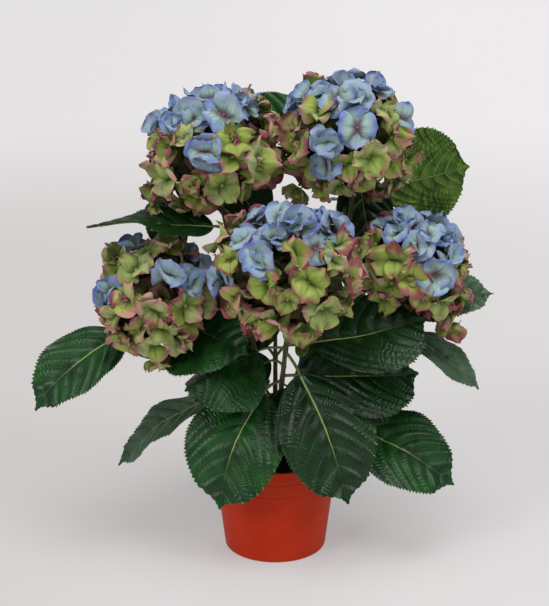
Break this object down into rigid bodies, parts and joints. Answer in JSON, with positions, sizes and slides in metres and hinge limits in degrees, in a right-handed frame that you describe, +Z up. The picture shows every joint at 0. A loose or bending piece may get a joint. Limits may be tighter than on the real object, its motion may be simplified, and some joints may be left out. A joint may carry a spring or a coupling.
{
  "type": "potted artificial hydrangea shrub",
  "caption": "Silk hydrangea bush with round blue and green flower heads and broad toothed leaves, standing in a small tapered plastic pot.",
  "frame": {"origin": "centre of the pot's flat underside, on the surface the plant stands on", "axes": "+Z up; -Y is the side shown in the picture, +X to the right as seen from there"},
  "size_m": [0.4643, 0.3166, 0.4888],
  "materials": {
    "pot": "moulded, lightly satin orange-red plastic",
    "filling": "dark rough foam filling",
    "stem": "olive green plastic over wire",
    "leaf": "coated pressed fabric, satin, with quilted veins",
    "bloom": "thin matt printed fabric petals"
  },
  "bodies": {
    "root": {"head_back": "bloom", "head_front": "bloom", "head_left": "bloom", "head_right": "bloom", "head_top_left": "bloom", "head_top_right": "bloom", "leaf_back_high_left": "leaf", "leaf_back_high_right": "leaf", "leaf_back_low": "leaf", "leaf_back_low_left": "leaf", "leaf_back_low_right": "leaf", "leaf_back_middle_left": "leaf", "leaf_back_middle_right": "leaf", "leaf_back_under_left": "leaf", "leaf_back_under_right": "leaf", "leaf_edge_on": "leaf", "leaf_front_left": "leaf", "leaf_front_right": "leaf", "leaf_hanging": "leaf", "leaf_left_centre": "leaf", "leaf_left_high": "leaf", "leaf_left_inner": "leaf", "leaf_left_low": "leaf", "leaf_left_middle": "leaf", "leaf_low_centre": "leaf", "leaf_right_drooping": "leaf", "leaf_right_high": "leaf", "leaf_right_low": "leaf", "leaf_right_middle": "leaf", "leaf_right_outer": "leaf", "leaf_small": "leaf", "leaf_top_between": "leaf", "leaf_turned_up": "leaf", "leaf_upright_centre": "leaf", "leaf_upright_inner": "leaf", "leaf_upright_left": "leaf", "pot": "pot", "pot_fill": "filling", "stem_back": "stem", "stem_front": "stem", "stem_left": "stem", "stem_right": "stem", "stem_top_left": "stem", "stem_top_right": "stem"}
  },
  "joints": []
}
